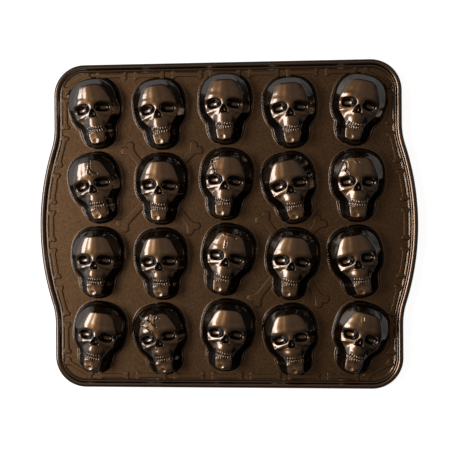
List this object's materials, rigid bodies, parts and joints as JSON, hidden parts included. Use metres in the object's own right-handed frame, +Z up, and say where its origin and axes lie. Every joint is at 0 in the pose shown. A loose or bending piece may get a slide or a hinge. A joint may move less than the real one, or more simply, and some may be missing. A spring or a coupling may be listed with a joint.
{
  "type": "cake pan",
  "caption": "Cast cake pan with small skull-shaped cups, lying upside down on its rim: thick bronze-coated walls, rounded bead rim and wide bowed grips.",
  "frame": {"origin": "middle of the plane the rim rests on, under the centre of the pan", "axes": "+X along the grips to the right of the picture, +Y towards the tops of the skulls (the picture's top), +Z up out of the cups' backs, towards the camera"},
  "size_m": [0.299, 0.257, 0.0239],
  "materials": {
    "deck_bronze": "satin bronze non-stick coating",
    "rim_bronze": "satin to glossy bronze non-stick coating",
    "cup_bronze": "glossy bronze non-stick coating"
  },
  "bodies": {
    "root": {"deck_border": "deck_bronze", "rim_bead": "rim_bronze", "skull_cup_r1c1": "cup_bronze", "skull_cup_r1c2": "cup_bronze", "skull_cup_r1c3": "cup_bronze", "skull_cup_r1c4": "cup_bronze", "skull_cup_r1c5": "cup_bronze", "skull_cup_r2c1": "cup_bronze", "skull_cup_r2c2": "cup_bronze", "skull_cup_r2c3": "cup_bronze", "skull_cup_r2c4": "cup_bronze", "skull_cup_r2c5": "cup_bronze", "skull_cup_r3c1": "cup_bronze", "skull_cup_r3c2": "cup_bronze", "skull_cup_r3c3": "cup_bronze", "skull_cup_r3c4": "cup_bronze", "skull_cup_r3c5": "cup_bronze", "skull_cup_r4c1": "cup_bronze", "skull_cup_r4c2": "cup_bronze", "skull_cup_r4c3": "cup_bronze", "skull_cup_r4c4": "cup_bronze", "skull_cup_r4c5": "cup_bronze"}
  },
  "joints": []
}
